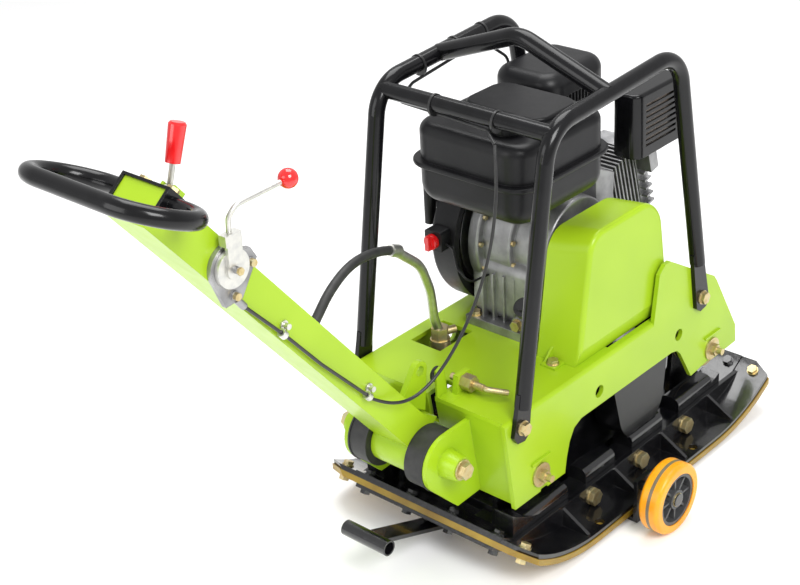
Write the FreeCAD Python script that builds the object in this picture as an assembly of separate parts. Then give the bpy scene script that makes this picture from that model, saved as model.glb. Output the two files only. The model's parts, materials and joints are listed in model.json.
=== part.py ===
"""Reversible plate compactor on its transport trolley, one STEP file per piece.

Millimetres. +X is forward (the handle is at -X), +Y is left, +Z is up.
Z = 0 is the floor under the trolley bars.
"""
import FreeCAD, Part
import math
import os

V = FreeCAD.Vector

# ---------------------------------------------------------------- main sizes
TROLLEY_BAR_T = 8.0          # flat bars under the pad
PAD_T = 10.0                 # polyurethane paving pad
PLATE_T = 10.0               # base plate
PLATE_REAR_X = -357.0        # rear lip
PLATE_FRONT_X = 377.0        # front lip
PLATE_HALF_W = 222.0         # half width over the wings
FLAT_REAR_X = -172.0         # where the flat bottom ends
FLAT_FRONT_X = 182.0
LIP_RISE = 60.0              # height the ends curve up by

FRAME_TOP_Z = 288.0          # top face of the upper frame
FRAME_T = 8.0
FRAME_HALF_W = 162.0
SHOCK_X = 250.0              # rubber mounts, fore and aft
SHOCK_Z = 155.0

PIVOT_X = -387.0             # handle pivot axis, along Y
PIVOT_Z = 219.0
EAR_Y = 78.0                 # inner face of the ears
EAR_R = 50.0
BEAM_W = 80.0
BEAM_H = 55.0
BEAM_TILT = 51.1             # degrees above the horizontal
BEAM_OFFSET = 18.5           # beam centre line in front of the pivot
BEAM_LEN = 754.0             # from the pivot to the top end

CRANK_Z = 430.0
BELT_Y = -128.0
EXC_Z = 140.0
EXC_X1 = 50.0                # driven exciter shaft
EXC_X2 = -62.0               # second exciter shaft

CAGE_TUBE_R = 13.5
CAGE_Y = 166.0

WHEEL_R = 62.4
WHEEL_X = -66.0
WHEEL_Y = 284.0
WHEEL_W = 38.0

RUN = 0.05                   # radial clearance of a running fit


# ---------------------------------------------------------------- helpers
def box(x0, x1, y0, y1, z0, z1):
    return Part.makeBox(x1 - x0, y1 - y0, z1 - z0, V(x0, y0, z0))


def cyl(r, p0, p1):
    a, b = V(*p0), V(*p1)
    return Part.makeCylinder(r, (b - a).Length, a, b - a)


def cone(r0, r1, p0, p1):
    a, b = V(*p0), V(*p1)
    return Part.makeCone(r0, r1, (b - a).Length, a, b - a)


def ring(r_out, r_in, p0, p1):
    return cyl(r_out, p0, p1).cut(cyl(r_in, p0, p1))


def ycyl(r, x, z, y0, y1):
    return cyl(r, (x, y0, z), (x, y1, z))


def face_of(points):
    pts = [V(*p) for p in points]
    return Part.Face(Part.makePolygon(pts + [pts[0]]))


def prism_y(xz, y0, y1):
    return face_of([(x, y0, z) for x, z in xz]).extrude(V(0, y1 - y0, 0))


def prism_x(yz, x0, x1):
    return face_of([(x0, y, z) for y, z in yz]).extrude(V(x1 - x0, 0, 0))


def prism_z(xy, z0, z1):
    return face_of([(x, y, z0) for x, y in xy]).extrude(V(0, 0, z1 - z0))


def fuse(shapes):
    out = shapes[0]
    for s in shapes[1:]:
        out = out.fuse(s)
    return out.removeSplitter()


def cut_all(shape, tools):
    for t in tools:
        shape = shape.cut(t)
    return shape


def mirror_y(shape):
    return shape.mirror(V(0, 0, 0), V(0, 1, 0))


def edges_where(shape, test):
    return [e for e in shape.Edges if test(e)]


def along(e, axis):
    """True for a straight edge parallel to the axis letter."""
    if len(e.Vertexes) != 2 or e.Curve.TypeId != "Part::GeomLine":
        return False
    d = e.Vertexes[1].Point - e.Vertexes[0].Point
    return abs(getattr(d, axis)) > 0.999 * d.Length


def rounded_box(x0, x1, y0, y1, z0, z1, r, axis):
    b = box(x0, x1, y0, y1, z0, z1)
    return b.makeFillet(r, edges_where(b, lambda e: along(e, axis)))


def hexagon(af, p0, p1):
    a, b = V(*p0), V(*p1)
    r = af / math.sqrt(3.0)
    n = b - a
    side = V(0, 0, 1) if abs(n.z) < 0.7 * n.Length else V(1, 0, 0)
    u = n.cross(side)
    u.normalize()
    w = n.cross(u)
    w.normalize()
    pts = []
    for k in range(6):
        t = math.radians(60 * k)
        pts.append(a + u * (r * math.cos(t)) + w * (r * math.sin(t)))
    return Part.Face(Part.makePolygon(pts + [pts[0]])).extrude(n)


def at(p, d, s):
    """The point s along unit direction d from p."""
    return (p[0] + d[0] * s, p[1] + d[1] * s, p[2] + d[2] * s)


def bolt(p, d, size, shank, washer=None, nut_at=None):
    """Hex bolt with its head's underside at p, the head towards d, the shank the other way."""
    w_r, w_t = washer if washer else (size * 1.05, size * 0.16)
    parts = [cyl(w_r, p, at(p, d, w_t))]
    parts.append(hexagon(size * 1.6, at(p, d, w_t), at(p, d, w_t + size * 0.62)))
    parts.append(cyl(size / 2.0, at(p, d, -shank), at(p, d, w_t)))
    if nut_at is not None:
        parts.append(hexagon(size * 1.6, at(p, d, -nut_at), at(p, d, -nut_at - size * 0.8)))
    return fuse(parts)


def bent_wire(points, radii):
    """Straight runs joined by tangent arcs; radii holds one value per inner point."""
    pts = [V(*p) for p in points]
    edges = []
    start = pts[0]
    for k in range(1, len(pts) - 1):
        a = pts[k - 1] - pts[k]
        b = pts[k + 1] - pts[k]
        a.normalize()
        b.normalize()
        half_turn = (math.pi - a.getAngle(b)) / 2.0
        back = radii[k - 1] * math.tan(half_turn)
        p_in = pts[k] + a * back
        p_out = pts[k] + b * back
        bis = a + b
        bis.normalize()
        mid = pts[k] + bis * (radii[k - 1] / math.cos(half_turn) - radii[k - 1])
        edges.append(Part.makeLine(start, p_in))
        edges.append(Part.Arc(p_in, mid, p_out).toShape())
        start = p_out
    edges.append(Part.makeLine(start, pts[-1]))
    return Part.Wire(edges)


def sweep(wire, radius):
    e = wire.Edges[0]
    p = e.valueAt(e.FirstParameter)
    d = e.tangentAt(e.FirstParameter)
    circle = Part.Wire([Part.makeCircle(radius, p, d)])
    return wire.makePipeShell([circle], True, True)


def bent_tube(points, radii, radius):
    return sweep(bent_wire(points, radii), radius)


def cord_radii(points):
    """Bend radii for a limp cord: 0.45 of the shorter run over the tangent of half the turn."""
    pts = [V(*p) for p in points]
    out = []
    for k in range(1, len(pts) - 1):
        a = pts[k] - pts[k - 1]
        b = pts[k + 1] - pts[k]
        turn = a.getAngle(b)
        out.append(0.45 * min(a.Length, b.Length) / math.tan(turn / 2.0))
    return out


def cord(name, points, radius):
    radii = cord_radii(points)
    wire = bent_wire(points, radii)
    solid = sweep(wire, radius)
    print(name, "bend radii", [round(r, 1) for r in radii])
    print(name, "length", round(wire.Length, 1), "volume ratio",
          round(solid.Volume / (math.pi * radius ** 2 * wire.Length), 4))
    return solid


def solids_of(shape):
    return shape.Solids if shape.Solids else [shape]


# ---------------------------------------------------------------- base group
def ski_curve(offset):
    """Bottom curve of the pad raised by offset, as points and arc data (rear, front)."""
    z0 = TROLLEY_BAR_T
    data = []
    for flat_x, lip_x in ((FLAT_REAR_X, PLATE_REAR_X), (FLAT_FRONT_X, PLATE_FRONT_X)):
        run = abs(lip_x - flat_x)
        phi = 2.0 * math.atan(LIP_RISE / run)
        r = run / math.sin(phi)
        s = 1.0 if lip_x > flat_x else -1.0
        rr = r - offset
        c = (flat_x, z0 + r)
        mid = (c[0] + s * rr * math.sin(phi / 2), c[1] - rr * math.cos(phi / 2))
        end = (c[0] + s * rr * math.sin(phi), c[1] - rr * math.cos(phi))
        data.append(((flat_x, z0 + offset), mid, end))
    return data


def ski_band(o0, o1, y0, y1):
    """Plate following the ski curve between two offsets above its bottom."""
    (lr0, lm0, le0), (rr0, rm0, re0) = ski_curve(o0)
    (lr1, lm1, le1), (rr1, rm1, re1) = ski_curve(o1)

    def p(q):
        return V(q[0], y0, q[1])

    edges = [
        Part.Arc(p(le0), p(lm0), p(lr0)).toShape(),
        Part.makeLine(p(lr0), p(rr0)),
        Part.Arc(p(rr0), p(rm0), p(re0)).toShape(),
        Part.makeLine(p(re0), p(re1)),
        Part.Arc(p(re1), p(rm1), p(rr1)).toShape(),
        Part.makeLine(p(rr1), p(lr1)),
        Part.Arc(p(lr1), p(lm1), p(le1)).toShape(),
        Part.makeLine(p(le1), p(le0)),
    ]
    return Part.Face(Part.Wire(edges)).extrude(V(0, y1 - y0, 0))


def ski_z(x, offset):
    """Height of the ski curve at x, raised by offset along its normal (small offsets)."""
    z0 = TROLLEY_BAR_T
    if FLAT_REAR_X <= x <= FLAT_FRONT_X:
        return z0 + offset
    flat_x, lip_x = (FLAT_REAR_X, PLATE_REAR_X) if x < 0 else (FLAT_FRONT_X, PLATE_FRONT_X)
    run = abs(lip_x - flat_x)
    r = run / math.sin(2.0 * math.atan(LIP_RISE / run))
    rr = r - offset
    return z0 + r - math.sqrt(rr ** 2 - (x - flat_x) ** 2)


def plan_outline(grow):
    w = PLATE_HALF_W + grow
    xr, xf = PLATE_REAR_X - 8.0 - grow, PLATE_FRONT_X + 8.0 + grow
    return [(xr, -158), (xr + 30, -w), (xf - 34, -w), (xf, -150),
            (xf, 150), (xf - 34, w), (xr + 30, w), (xr, 158)]


def paving_pad():
    band = ski_band(0.0, PAD_T, -240.0, 240.0)
    pad = band.common(prism_z(plan_outline(2.0), 0.0, 120.0))
    for x in (-118.0, 20.0, 158.0):
        for s in (-1, 1):
            pad = pad.cut(cyl(5.2, (x, s * 190.0, 0.0), (x, s * 190.0, 40.0)))
    return pad


RAIL_SEGMENTS = ((-300.0, -172.0), (-122.0, -40.0), (12.0, 104.0), (156.0, 262.0))
WING_BOLT_X = (-119.0, 20.0, 159.0)
WING_RIB_X = (-196.0, -50.0, 90.0, 238.0)
LIP_BOLT_X = -331.0
LIP_BOLT_FRONT_X = 349.0
LIP_BOLT_Y = (45.0, 139.0)


def base_rail(side):
    lower = ski_band(PAD_T + PLATE_T, PAD_T + PLATE_T + 36.0, 122.0, 158.0)
    lower = lower.common(box(-318.0, 288.0, 120.0, 160.0, 0.0, 200.0))
    parts = [lower]
    for x0, x1 in RAIL_SEGMENTS:
        seg = box(x0, x1, 118.0, 158.0, 50.0, 90.0)
        top = edges_where(seg, lambda e: along(e, "x") and e.CenterOfMass.z > 80.0)
        seg = seg.makeFillet(13.0, top)
        parts.append(seg.cut(ski_band(-200.0, PAD_T + PLATE_T + 1.0, 110.0, 165.0)))
    rail = fuse(parts)
    return rail if side > 0 else mirror_y(rail)


def shock_bracket(sx, sy):
    """Upright lug of the base that holds the inner end of a rubber mount."""
    x = sx * SHOCK_X
    foot = 46.0
    plate = prism_y([(x - 48, foot), (x + 48, foot), (x + 34, SHOCK_Z + 24), (x - 34, SHOCK_Z + 24)],
                    96.0, 106.0)
    web = prism_x([(60.0, foot), (96.0, foot), (96.0, SHOCK_Z + 10)], x - 5.0, x + 5.0)
    shoe = box(x - 52, x + 52, 56.0, 124.0, ski_z(x, PAD_T + PLATE_T) - 6.0, foot + 8.0)
    lug = fuse([plate, web, shoe])
    lug = lug.cut(ski_band(-200.0, PAD_T + PLATE_T, 40.0, 130.0))
    lug = lug.cut(ycyl(6.0, x, SHOCK_Z, 90.0, 110.0))
    return lug if sy > 0 else mirror_y(lug)


def base_plate():
    plate = ski_band(PAD_T, PAD_T + PLATE_T, -158.0, 158.0)
    parts = [plate, base_rail(1), base_rail(-1)]
    for sx in (-1, 1):
        for sy in (-1, 1):
            parts.append(shock_bracket(sx, sy))
    for x in (-252.0, 262.0):
        beam = box(x - 12, x + 12, -122.0, 122.0, 36.0, 60.0)
        parts.append(beam.cut(ski_band(-200.0, PAD_T + PLATE_T, -130.0, 130.0)))
    base = fuse(parts)
    base = base.cut(ycyl(67.0, EXC_X1, EXC_Z, -152.0, -97.0))
    for x in WING_BOLT_X:
        base = base.cut(ycyl(8.0, x, 43.0, -160.0, -128.0))
        base = base.cut(ycyl(8.0, x, 43.0, 128.0, 160.0))
    return base


def wing(side):
    floor = ski_band(PAD_T, PAD_T + 8.0, 158.4, PLATE_HALF_W)
    flange = ski_band(PAD_T, PAD_T + 46.0, 158.4, 166.4).common(box(-330, 350, 150, 170, 0, 66.0))
    parts = [floor, flange]
    for x in WING_RIB_X:
        z = ski_z(x, PAD_T + 4.0)
        rib = prism_x([(164.0, z), (PLATE_HALF_W - 4.0, z), (PLATE_HALF_W - 4.0, z + 8.0),
                       (166.0, z + 38.0), (164.0, z + 38.0)], x - 3.0, x + 3.0)
        parts.append(rib)
    w = fuse(parts).common(prism_z(plan_outline(0.0), 0.0, 140.0))
    for x in (-151.0, -5.0, 128.0):
        w = w.cut(cyl(8.0, (x, 207.0, 5.0), (x, 207.0, 45.0)))
    for x in WING_BOLT_X:
        w = w.cut(ycyl(8.4, x, 43.0, 150.0, 175.0))
    return w if side > 0 else mirror_y(w)


def wing_bolts():
    out = []
    for s in (-1, 1):
        for x in WING_BOLT_X:
            out.append(bolt((x, s * 166.4, 43.0), (0, s, 0), 16.0, 38.0, washer=(15.0, 3.0)))
    return out


def pad_strips():
    """Clamping bars under the two lips."""
    band = ski_band(-6.0, -0.05, -148.0, 148.0)
    rear = band.common(box(-380, -318, -150, 150, 0, 120))
    front = band.common(box(334, 400, -150, 150, 0, 120))
    return [rear, front]


def lip_normal(x):
    flat_x, lip_x = (FLAT_REAR_X, PLATE_REAR_X) if x < 0 else (FLAT_FRONT_X, PLATE_FRONT_X)
    run = abs(lip_x - flat_x)
    r = run / math.sin(2.0 * math.atan(LIP_RISE / run))
    dx = (x - flat_x) / r
    return (-dx, 0.0, math.sqrt(1.0 - dx * dx))


def pad_bolts():
    """Lip bolts: heads above the plate, nuts under the strip; the wing ones clamp the pad only."""
    out = []
    for x in (LIP_BOLT_X, LIP_BOLT_FRONT_X):
        n = lip_normal(x)
        base = (x, 0.0, ski_z(x, PAD_T + PLATE_T))
        for y in LIP_BOLT_Y:
            for s in (-1, 1):
                p = (base[0], s * y, base[2])
                out.append(bolt(p, n, 10.0, 34.0, nut_at=PAD_T + PLATE_T + 6.0))
        for s in (-1, 1):
            p = (x, s * 192.0, ski_z(x, PAD_T + 8.0))
            out.append(bolt(p, n, 10.0, 24.0, nut_at=PAD_T + 8.0))
    return out


def exciter_housing():
    body = box(EXC_X2 - 76, EXC_X1 + 76, -84.0, 84.0, 28.0, EXC_Z)
    barrels = [ycyl(74.0, EXC_X1, EXC_Z, -84.0, 84.0), ycyl(74.0, EXC_X2, EXC_Z, -84.0, 84.0)]
    feet = box(EXC_X2 - 98, EXC_X1 + 98, -92.0, 92.0, 28.0, 44.0)
    top = box(EXC_X2, EXC_X1, -84.0, 84.0, EXC_Z, EXC_Z + 74.0)
    solid = fuse([body] + barrels + [feet, top])
    for x in (EXC_X1, EXC_X2):
        solid = solid.cut(ycyl(60.0, x, EXC_Z, -76.0, 76.0))
        solid = solid.cut(ycyl(26.0, x, EXC_Z, -90.0, 90.0))
    for x in (EXC_X2 - 88, EXC_X1 + 88):
        for y in (-70.0, 0.0, 70.0):
            solid = solid.cut(cyl(7.0, (x, y, 20.0), (x, y, 50.0)))
    return solid


def exciter_bolts():
    out = []
    for x in (EXC_X2 - 88, EXC_X1 + 88):
        for y in (-70.0, 0.0, 70.0):
            out.append(bolt((x, y, 44.0), (0, 0, 1), 14.0, 24.0))
    return out


def exciter_bearings():
    out = []
    for x in (EXC_X1, EXC_X2):
        for y0, y1 in ((-84.0, -66.0), (66.0, 84.0)):
            out.append(ring(26.0, 15.0 + RUN, (x, y0, EXC_Z), (x, y1, EXC_Z)))
    return out


def exciter_covers():
    left = fuse([ycyl(68.0, EXC_X1, EXC_Z, 84.0, 92.0), ycyl(68.0, EXC_X2, EXC_Z, 84.0, 92.0)])
    caps = [ycyl(34.0, EXC_X2, EXC_Z, -92.0, -84.0), left]
    seal = ycyl(34.0, EXC_X1, EXC_Z, -92.0, -84.0).cut(ycyl(16.0, EXC_X1, EXC_Z, -95.0, -80.0))
    return caps + [seal]


def exciter_shaft(x, y_end):
    shaft = ycyl(15.0, x, EXC_Z, y_end, 83.0)
    parts = [shaft, ycyl(22.0, x, EXC_Z, -64.0, 64.0)]
    weight = ycyl(54.0, x, EXC_Z, -58.0, 24.0).common(box(x - 60, x + 60, -60, 30, EXC_Z - 60, EXC_Z - 4))
    gear = ycyl(55.7, x, EXC_Z, 30.0, 50.0)
    return fuse(parts + [weight, gear])


def exciter_pulley():
    body = ycyl(50.0, EXC_X1, EXC_Z, BELT_Y - 11.0, BELT_Y + 11.0)
    groove = ring(60.0, 38.0, (EXC_X1, BELT_Y - 8.5, EXC_Z), (EXC_X1, BELT_Y + 8.5, EXC_Z))
    hub = ycyl(24.0, EXC_X1, EXC_Z, BELT_Y + 11.0, BELT_Y + 22.0)
    return fuse([body.cut(groove), hub]).cut(ycyl(15.0, EXC_X1, EXC_Z, -160.0, -90.0))


def lower_belt_cover():
    """Pressed tray over the exciter pulley, open to the belt above."""
    def shell(r, y0, y1, top):
        c = (EXC_X1, EXC_Z)
        rear, front = (EXC_X1 - r - 34.0, top), (EXC_X1 + r + 16.0, top)
        pts = [tangent_point(c, r, rear, 1), rear, front, tangent_point(c, r, front, -1), c]
        return fuse([prism_y(pts, y0, y1), ycyl(r, c[0], c[1], y0, y1)])

    tray = shell(66.0, -151.0, -98.0, 262.0).cut(shell(62.5, -147.5, -90.0, 270.0))
    for x in (EXC_X1 - 68, EXC_X1 + 56):
        tray = tray.fuse(box(x, x + 12, -104.0, -84.0, EXC_Z + 6, EXC_Z + 30.0))
    keep = ycyl(74.0, EXC_X1, EXC_Z, -84.0, 84.0)
    return tray.cut(keep).removeSplitter()


def shock_mounts():
    out = []
    for sx in (-1, 1):
        for sy in (-1, 1):
            rub = ycyl(36.0, sx * SHOCK_X, SHOCK_Z, 108.5, 151.5)
            waist = Part.makeTorus(43.0, 9.0, V(sx * SHOCK_X, 130.0, SHOCK_Z), V(0, 1, 0))
            rub = rub.cut(waist)
            out.append(rub if sy > 0 else mirror_y(rub))
    return out


def shock_plates():
    """Bonded steel discs, studs, washers and nuts of the rubber mounts."""
    out = []
    for sx in (-1, 1):
        x = sx * SHOCK_X
        for sy in (-1, 1):
            inner = fuse([ycyl(36.0, x, SHOCK_Z, 106.0, 108.5), ycyl(6.0, x, SHOCK_Z, 84.0, 108.0),
                          hexagon(19.0, (x, 96.0, SHOCK_Z), (x, 87.0, SHOCK_Z))])
            outer = fuse([ycyl(36.0, x, SHOCK_Z, 151.5, 154.0), ycyl(6.0, x, SHOCK_Z, 152.0, 186.0),
                          ycyl(21.0, x, SHOCK_Z, 162.0, 165.5),
                          hexagon(19.0, (x, 165.5, SHOCK_Z), (x, 175.0, SHOCK_Z))])
            for s in (inner, outer):
                out.append(s if sy > 0 else mirror_y(s))
    return out


# ---------------------------------------------------------------- upper frame
def flange_profile():
    top = FRAME_TOP_Z
    return [(-337, top), (-315, 122), (-250, 122), (-250, 126), (-232, 126), (-232, 122),
            (-185, 122), (-180, 150), (-172, 176), (-160, 196), (-140, 205), (122, 205),
            (138, 201), (150, 190), (186, 128), (240, 134), (254, 130), (333, 132),
            (330, 168), (262, 286), (252, 300), (112, 386), (96, 386), (80, 372), (66, top)]


def upper_frame():
    t = FRAME_T
    side = prism_y(flange_profile(), FRAME_HALF_W - t, FRAME_HALF_W)
    for x in (-90.0, 143.0):
        side = side.cut(ycyl(11.0, x, 231.0, 150.0, 170.0))
    for sx in (-1, 1):
        side = side.cut(ycyl(6.0, sx * SHOCK_X, SHOCK_Z, 150.0, 170.0))
        lip = box(sx * SHOCK_X - 24, sx * SHOCK_X + 24, FRAME_HALF_W - 0.5, FRAME_HALF_W + 4.0,
                  SHOCK_Z + 27.0, SHOCK_Z + 31.0)
        side = side.fuse(lip)
    top = box(-333.0, 262.0, -FRAME_HALF_W, FRAME_HALF_W, FRAME_TOP_Z - t, FRAME_TOP_Z)
    rear = prism_y([(-333, FRAME_TOP_Z - 2), (-325, FRAME_TOP_Z - 2), (-300, 124), (-308, 124)],
                   -FRAME_HALF_W + 1.0, FRAME_HALF_W - 1.0)
    front = box(254.0, 262.0, -FRAME_HALF_W + 1.0, FRAME_HALF_W - 1.0, 196.0, FRAME_TOP_Z - 2.0)
    frame = fuse([side, mirror_y(side), top, rear, front])
    bends = edges_where(frame, lambda e: along(e, "x") and e.Length > 200.0
                        and abs(abs(e.CenterOfMass.y) - FRAME_HALF_W) < 0.1
                        and abs(e.CenterOfMass.z - FRAME_TOP_Z) < 0.1)
    frame = frame.makeFillet(7.0, bends)
    frame = frame.cut(box(-219.0, -135.0, 68.0, 132.0, 260.0, 300.0))
    frame = frame.cut(box(-46.0, 126.0, -146.0, -106.0, 260.0, 300.0))
    frame = frame.cut(box(-345.0, -282.0, -18.5, -1.5, 236.0, 300.0))
    return fuse([frame, ear(1), ear(-1), lock_lug(), bump_bracket()])


def tangent_point(c, r, p, side):
    """Point where the line from p touches the circle; side picks which one."""
    dx, dz = p[0] - c[0], p[1] - c[1]
    d = math.hypot(dx, dz)
    a = math.atan2(dz, dx) + side * math.acos(r / d)
    return (c[0] + r * math.cos(a), c[1] + r * math.sin(a))


def ear(sy):
    c = (PIVOT_X, PIVOT_Z)
    tip_up, tip_low = (-322.0, 270.0), (-366.0, 126.0)
    t_up = tangent_point(c, EAR_R, tip_up, 1)
    t_low = tangent_point(c, EAR_R, tip_low, -1)
    outline = [t_up, tip_up, (-301.0, 128.0), tip_low, t_low, c]
    plate = fuse([prism_y(outline, EAR_Y, EAR_Y + 8.0), ycyl(EAR_R, c[0], c[1], EAR_Y, EAR_Y + 8.0)])
    boss = cone(24.0, 20.0, (c[0], EAR_Y + 7.0, c[1]), (c[0], EAR_Y + 38.0, c[1]))
    plate = fuse([plate, boss])
    plate = plate.cut(ycyl(10.0, c[0], c[1], EAR_Y - 5, EAR_Y + 60))
    return plate if sy > 0 else mirror_y(plate)


LOCK_R = 130.0
LOCK_ANGLE = 42.0
LUG_ANGLE = 78.0


def on_pivot(radius, angle):
    a = math.radians(angle)
    return (PIVOT_X + radius * math.cos(a), PIVOT_Z + radius * math.sin(a))


def lock_lug():
    """Lug on the top plate that carries the parking pin."""
    x, z = on_pivot(LOCK_R, LOCK_ANGLE)
    plate = prism_y([(x - 22, FRAME_TOP_Z - 20), (x + 30, FRAME_TOP_Z - 4), (x + 16, z + 14),
                     (x - 14, z + 14)], -44.0, -34.0)
    gusset = prism_x([(-44.0, FRAME_TOP_Z - 4), (-44.0, z - 2), (-66.0, FRAME_TOP_Z - 4)], x + 15, x + 21)
    foot = box(x - 40, x + 20, -52.0, -26.0, FRAME_TOP_Z - 6.0, FRAME_TOP_Z + 0.5)
    lug = fuse([plate, gusset, foot]).cut(ycyl(9.0, x, z, -50, -30))
    return lug.cut(box(x - 60, x + 60, -90, 0, 200, FRAME_TOP_Z - 6.0))


def hinge_bolts():
    out = []
    for s in (-1, 1):
        shank = ycyl(10.0, PIVOT_X, PIVOT_Z, 16.0, EAR_Y + 38.0)
        washer = ycyl(17.0, PIVOT_X, PIVOT_Z, EAR_Y + 38.0, EAR_Y + 41.0)
        head = hexagon(24.0, (PIVOT_X, EAR_Y + 41.0, PIVOT_Z), (PIVOT_X, EAR_Y + 51.0, PIVOT_Z))
        b = fuse([shank, washer, head])
        out.append(b if s > 0 else mirror_y(b))
    return out


def hinge_bushes():
    out = []
    for s in (-1, 1):
        y0, y1 = BEAM_W / 2 + 0.6, EAR_Y - 3.0
        rub = ring(EAR_R, 10.0, (PIVOT_X, y0, PIVOT_Z), (PIVOT_X, y1, PIVOT_Z))
        out.append(rub if s > 0 else mirror_y(rub))
    return out


def hinge_discs():
    out = []
    for s in (-1, 1):
        d = ring(EAR_R + 1.5, 10.0, (PIVOT_X, EAR_Y - 3.0, PIVOT_Z), (PIVOT_X, EAR_Y, PIVOT_Z))
        out.append(d if s > 0 else mirror_y(d))
    return out


# ---------------------------------------------------------------- cage
CAGE_REAR_X, CAGE_FRONT_X = -224.0, 113.0
CAGE_REAR_Z, CAGE_FRONT_Z = 738.0, 756.0
FOOT_REAR = (-302.0, 272.0)
FOOT_FRONT = (202.0, 282.0)
FOOT_T = 8.0


def cage_hoop(sy):
    y = CAGE_Y
    rear = V(CAGE_REAR_X, y, CAGE_REAR_Z)
    front = V(CAGE_FRONT_X, y, CAGE_FRONT_Z)
    rear_foot = V(FOOT_REAR[0], y, FOOT_REAR[1])
    front_foot = V(FOOT_FRONT[0], y, FOOT_FRONT[1])
    rear_end = rear + (rear_foot - rear) * 0.93
    front_end = front + (front_foot - front) * 0.85
    tube = bent_tube([tuple(rear_end), tuple(rear), tuple(front), tuple(front_end)],
                     [62.0, 62.0], CAGE_TUBE_R)
    hoop = fuse([tube, cage_foot(rear, rear_foot, 58.0), cage_foot(front, front_foot, 96.0)])
    return hoop if sy > 0 else mirror_y(hoop)


def cage_foot(top, bolt_at, length):
    """Flattened tube end with its bolt hole, lying on the flange."""
    d = top - bolt_at
    d.y = 0
    d.normalize()
    n = V(-d.z, 0, d.x)
    y0, y1 = FRAME_HALF_W, FRAME_HALF_W + FOOT_T
    low = bolt_at - d * 14.0
    tip = bolt_at - d * 25.0
    high = bolt_at + d * length
    pts = [low + n * 19, tip + n * 9, tip - n * 9, low - n * 19, high - n * 15, high + n * 15]
    face = Part.Face(Part.makePolygon([V(p.x, y0, p.z) for p in pts + [pts[0]]]))
    flat = face.extrude(V(0, y1 - y0, 0))
    return flat.cut(ycyl(6.0, bolt_at.x, bolt_at.z, y0 - 1, y1 + 1))


CROSSBAR_X, CROSSBAR_Z = CAGE_REAR_X + 12.0, CAGE_REAR_Z - 12.0


def cage_crossbar():
    y = CAGE_Y
    return cyl(CAGE_TUBE_R, (CROSSBAR_X, -y, CROSSBAR_Z), (CROSSBAR_X, y, CROSSBAR_Z))


def cage_bars():
    """Rear crossbar and raised lifting bar, welded between the hoops."""
    out = []
    for bar in (cage_crossbar(), lifting_bar()):
        for s in (-1, 1):
            bar = bar.cut(cage_hoop(s))
        out.append(max(bar.Solids, key=lambda q: q.Volume))
    return out


def lifting_bar():
    x, za = -77.0, 807.0
    z = hoop_z(x)
    y = CAGE_Y
    return bent_tube([(x, -y, z), (x, 0.0, za), (x, y, z)], [60.0], 14.5)


def cage_bolts():
    out = []
    for s in (-1, 1):
        for x, z in (FOOT_REAR, FOOT_FRONT):
            out.append(bolt((x, s * (FRAME_HALF_W + FOOT_T), z), (0, s, 0), 12.0, 26.0,
                            nut_at=FOOT_T + FRAME_T))
    return out


# ---------------------------------------------------------------- engine
ENG_Z0 = FRAME_TOP_Z


CASE_STEPS = ((110.0, 72.0, 92.0), (96.0, 16.0, 73.0), (84.0, -52.0, 17.0))   # radius, y from, y to


def crankcase():
    """Sump with a stepped round case about the crank axis."""
    base = box(-118.0, 92.0, -58.0, 96.0, ENG_Z0, ENG_Z0 + 16.0)
    body = rounded_box(-98.0, 84.0, -52.0, 92.0, ENG_Z0 + 14.0, CRANK_Z - 18.0, 18.0, "y")
    boss = ycyl(56.0, 0.0, CRANK_Z, -62.0, -51.0)
    rounds = [round_step(r, y0, y1) for r, y0, y1 in CASE_STEPS]
    ribs = [box(-99.0 - 3.0 * k, -94.0, 4.0 + 20.0 * k, 8.0 + 20.0 * k, ENG_Z0 + 16.0, CRANK_Z - 40.0)
            for k in range(4)]
    deck = prism_y([(60, 362), (100, 352), (112, 520), (60, 545)], -46.0, 88.0)
    lug = cyl(13.0, (-112.0, -12.0, ENG_Z0 + 28.0), (-92.0, -12.0, ENG_Z0 + 28.0))
    neck = cyl(15.0, (-96.0, -34.0, ENG_Z0 + 40.0), (-126.0, -40.0, ENG_Z0 + 72.0))
    stay = box(-90.0, 40.0, -30.0, 76.0, CRANK_Z + 85.0, 540.0)
    solid = fuse([base, body, boss, deck, lug, neck, stay] + rounds + ribs)
    solid = solid.cut(ycyl(18.0 + RUN, 0.0, CRANK_Z, -70.0, 100.0))
    for x in (-108.0, 82.0):
        for y in (-46.0, 82.0):
            solid = solid.cut(cyl(12.5, (x, y, ENG_Z0 + 16), (x, y, ENG_Z0 + 34)))
    return solid


def round_step(radius, y0, y1):
    step = ycyl(radius, 0.0, CRANK_Z, y0, y1)
    return step.makeFillet(4.0, edges_where(step, lambda e: abs(e.CenterOfMass.y - y0) < 0.1))


def case_screws():
    """Cap screws round the faces of the two larger steps."""
    out = []
    for radius, y, turn in ((103.0, 72.0, 12.0), (90.0, 16.0, 30.0)):
        for k in range(5):
            a = math.radians(turn + 112.0 + 26.0 * k)
            x, z = radius * math.cos(a), CRANK_Z + radius * math.sin(a)
            head = hexagon(8.0, (x, y - 5.0, z), (x, y, z))
            out.append(fuse([head, ycyl(2.5, x, z, y - 1.0, y + 10.0)]))
    return out


def engine_bolts():
    out = []
    for x in (-108.0, 82.0):
        for y in (-46.0, 82.0):
            out.append(bolt((x, y, ENG_Z0 + 16.0), (0, 0, 1), 10.0, 34.0, nut_at=24.0))
    return out


CYL_TILT = 14.0


def engine_block():
    """Crankcase and finned barrel in one casting."""
    return fuse([crankcase(), cylinder_barrel()])


def tilted(shape):
    """Turns a shape drawn along +X from the crank up to the cylinder's angle."""
    s = shape.copy()
    s.rotate(V(0, 0, CRANK_Z), V(0, 1, 0), -CYL_TILT)
    return s


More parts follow.
